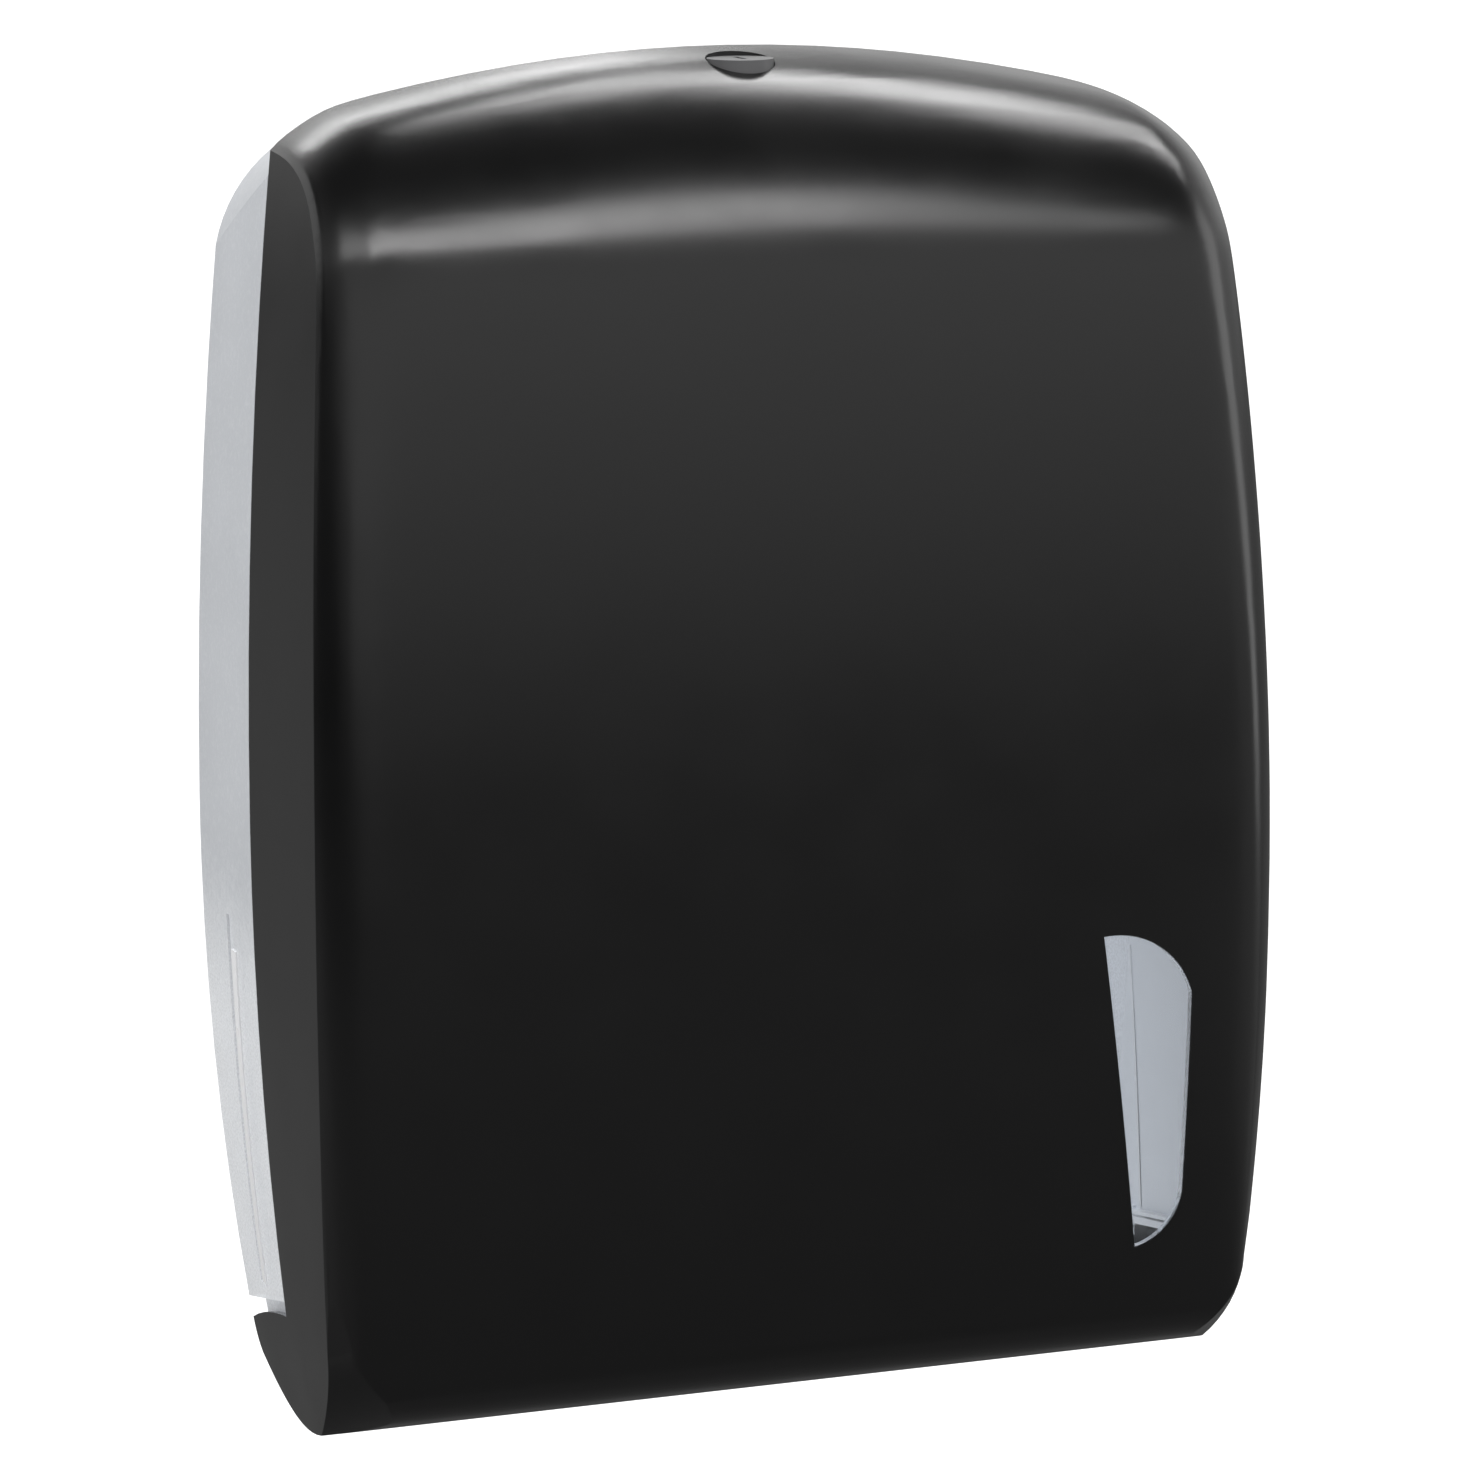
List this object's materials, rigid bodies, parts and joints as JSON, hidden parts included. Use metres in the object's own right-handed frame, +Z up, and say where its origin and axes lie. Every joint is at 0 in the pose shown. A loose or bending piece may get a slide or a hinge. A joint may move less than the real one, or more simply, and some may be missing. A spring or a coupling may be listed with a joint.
{
  "type": "folded paper towel dispenser",
  "caption": "Wall-mounted folded paper towel dispenser: frosted rear body, domed black cover hinged at its foot, level window and a key-turned latch.",
  "frame": {"origin": "on the wall plane, in the middle of the width, level with the cover's front bottom edge", "axes": "+Y into the wall, so the object stands out towards -Y; +Z up; +X to the right seen from the front"},
  "size_m": [0.3038, 0.139, 0.4107],
  "materials": {
    "black_cover": "satin",
    "frosted_body": "frosted translucent",
    "window": "clear, slightly blue",
    "grey_tray": "frosted",
    "pin_steel": "ground",
    "lock_black": "satin",
    "lock_zinc": "plated",
    "screw_steel": "plated",
    "latch_black": "moulded"
  },
  "bodies": {
    "wall_body": {"rear_body": "frosted_body", "dispensing_tray": "grey_tray", "tray_screws": "screw_steel", "latch_keeper": "lock_zinc", "keeper_screws": "screw_steel"},
    "cover": {"front_cover": "black_cover", "window_pane": "window", "hinge_pin_left": "pin_steel", "hinge_pin_right": "pin_steel", "lock_ring": "lock_black", "lock_nut": "lock_zinc", "latch_housing": "latch_black", "housing_screws": "screw_steel"},
    "lock_rotor": {"lock_barrel": "lock_black", "lock_circlip": "screw_steel", "lock_cam": "lock_zinc", "cam_screw": "screw_steel"},
    "latch": {"latch_bolt": "lock_zinc"}
  },
  "joints": [
    {"name": "cover_hinge", "type": "hinge", "parent": "wall_body", "child": "cover", "pos_m": [0, -0.01, 0.0035], "axis": [1, 0, 0], "range_deg": [0, 75]},
    {"name": "lock_turn", "type": "hinge", "parent": "cover", "child": "lock_rotor", "pos_m": [0, -0.068, 0.39], "axis": [0, 0, 1], "range_deg": [0, 90]},
    {"name": "bolt_slide", "type": "slide", "parent": "cover", "child": "latch", "axis": [1, 0, 0], "range_m": [0, 0.00712]}
  ],
  "couplings": [
    {"joint": "bolt_slide", "follows": "lock_turn", "m_per_rad": 0.0045}
  ]
}
